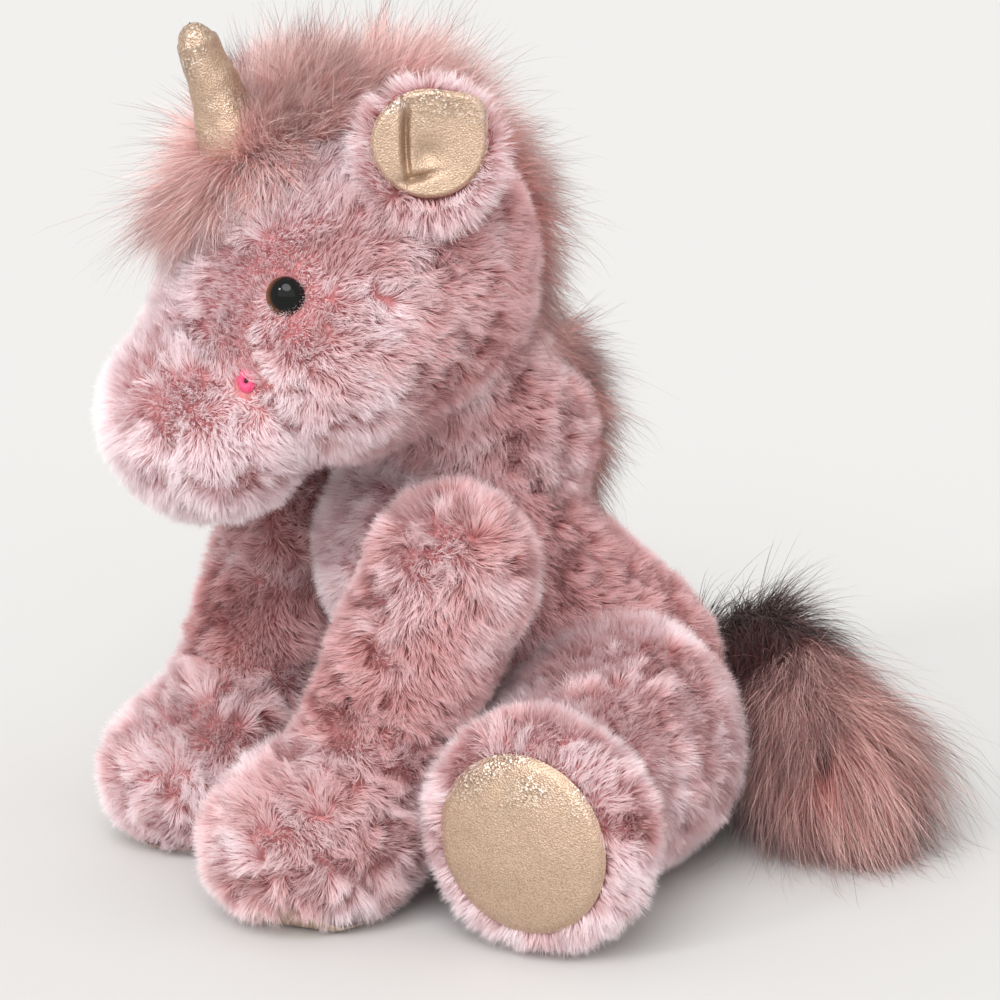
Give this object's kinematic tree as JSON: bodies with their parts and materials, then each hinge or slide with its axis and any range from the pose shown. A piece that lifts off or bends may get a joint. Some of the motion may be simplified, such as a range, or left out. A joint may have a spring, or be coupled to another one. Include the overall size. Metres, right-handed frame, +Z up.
{
  "type": "plush unicorn",
  "caption": "Sitting plush unicorn with fluffy body, long mane and tail, soft horn, button eyes and limbs that bend at their seams.",
  "frame": {"origin": "middle of the flat seat, on the surface that the toy sits on", "axes": "+Z up, -Y the way the unicorn faces, +X to its own left"},
  "size_m": [0.3252, 0.311, 0.332],
  "materials": {
    "pink_plush": "matte",
    "mane_pile": "matte",
    "tail_pile": "matte",
    "gold_foil": "satin",
    "eye": "gloss",
    "washer": "matte",
    "nostril_thread": "satin",
    "stuffing": "matte",
    "bean_bag": "matte"
  },
  "bodies": {
    "torso": {"seat_panel": "pink_plush", "belly_panel": "pink_plush", "back_panel_left": "pink_plush", "back_panel_right": "pink_plush", "torso_stuffing": "stuffing", "seat_bean_bag": "bean_bag"},
    "neck": {"neck_cover": "pink_plush", "neck_stuffing": "stuffing", "nape_mane": "mane_pile"},
    "head": {"face_gusset": "pink_plush", "cheek_panel_left": "pink_plush", "cheek_panel_right": "pink_plush", "head_stuffing": "stuffing", "eye_left": "eye", "eye_right": "eye", "eye_washer_left": "washer", "eye_washer_right": "washer", "nostril_left": "nostril_thread", "nostril_right": "nostril_thread", "horn_cover": "gold_foil", "horn_stuffing": "stuffing", "crest_mane": "mane_pile", "forelock": "mane_pile"},
    "tail": {"tail_root": "tail_pile", "tail_pile": "tail_pile"},
    "ear_left": {"ear_back_left": "pink_plush", "ear_lining_left": "gold_foil"},
    "foreleg_left": {"foreleg_cover_left": "pink_plush", "foreleg_stuffing_left": "stuffing", "forefoot_cover_left": "pink_plush", "forefoot_stuffing_left": "stuffing", "forefoot_sole_left": "gold_foil"},
    "hindleg_left": {"hindleg_cover_left": "pink_plush", "hindleg_stuffing_left": "stuffing", "hindfoot_cover_left": "pink_plush", "hindfoot_stuffing_left": "stuffing", "hindfoot_sole_left": "gold_foil"},
    "ear_right": {"ear_back_right": "pink_plush", "ear_lining_right": "gold_foil"},
    "foreleg_right": {"foreleg_cover_right": "pink_plush", "foreleg_stuffing_right": "stuffing", "forefoot_cover_right": "pink_plush", "forefoot_stuffing_right": "stuffing", "forefoot_sole_right": "gold_foil"},
    "hindleg_right": {"hindleg_cover_right": "pink_plush", "hindleg_stuffing_right": "stuffing", "hindfoot_cover_right": "pink_plush", "hindfoot_stuffing_right": "stuffing", "hindfoot_sole_right": "gold_foil"}
  },
  "joints": [
    {"name": "neck_turn", "type": "hinge", "parent": "torso", "child": "neck", "pos_m": [0, -0.046, 0.144], "axis": [0, 0, 1], "range_deg": [-12, 12], "stiffness_Nm_per_rad": 1.5},
    {"name": "head_nod", "type": "hinge", "parent": "neck", "child": "head", "pos_m": [0, -0.101, 0.238], "axis": [1, 0, 0], "range_deg": [-8, 8], "stiffness_Nm_per_rad": 6},
    {"name": "tail_wag", "type": "hinge", "parent": "torso", "child": "tail", "pos_m": [0, 0.064, 0.055], "axis": [0, 0, 1], "range_deg": [0, 20], "stiffness_Nm_per_rad": 0.5},
    {"name": "ear_flop_left", "type": "hinge", "parent": "head", "child": "ear_left", "pos_m": [0.062, -0.101, 0.269], "axis": [0.5, 0.866, 0], "range_deg": [-12, 25], "stiffness_Nm_per_rad": 0.1},
    {"name": "foreleg_swing_left", "type": "hinge", "parent": "torso", "child": "foreleg_left", "pos_m": [0.061, -0.092, 0.13], "axis": [-1, 0, 0], "range_deg": [0, 30], "stiffness_Nm_per_rad": 1.5},
    {"name": "hindleg_spread_left", "type": "hinge", "parent": "torso", "child": "hindleg_left", "pos_m": [0.062, -0.02, 0.05], "axis": [0, 0, 1], "range_deg": [0, 18], "stiffness_Nm_per_rad": 1.5},
    {"name": "ear_flop_right", "type": "hinge", "parent": "head", "child": "ear_right", "pos_m": [-0.062, -0.101, 0.269], "axis": [0.5, -0.866, 0], "range_deg": [-12, 25], "stiffness_Nm_per_rad": 0.1},
    {"name": "foreleg_swing_right", "type": "hinge", "parent": "torso", "child": "foreleg_right", "pos_m": [-0.061, -0.092, 0.13], "axis": [-1, 0, 0], "range_deg": [0, 30], "stiffness_Nm_per_rad": 1.5},
    {"name": "hindleg_spread_right", "type": "hinge", "parent": "torso", "child": "hindleg_right", "pos_m": [-0.062, -0.02, 0.05], "axis": [0, 0, -1], "range_deg": [0, 18], "stiffness_Nm_per_rad": 1.5}
  ]
}
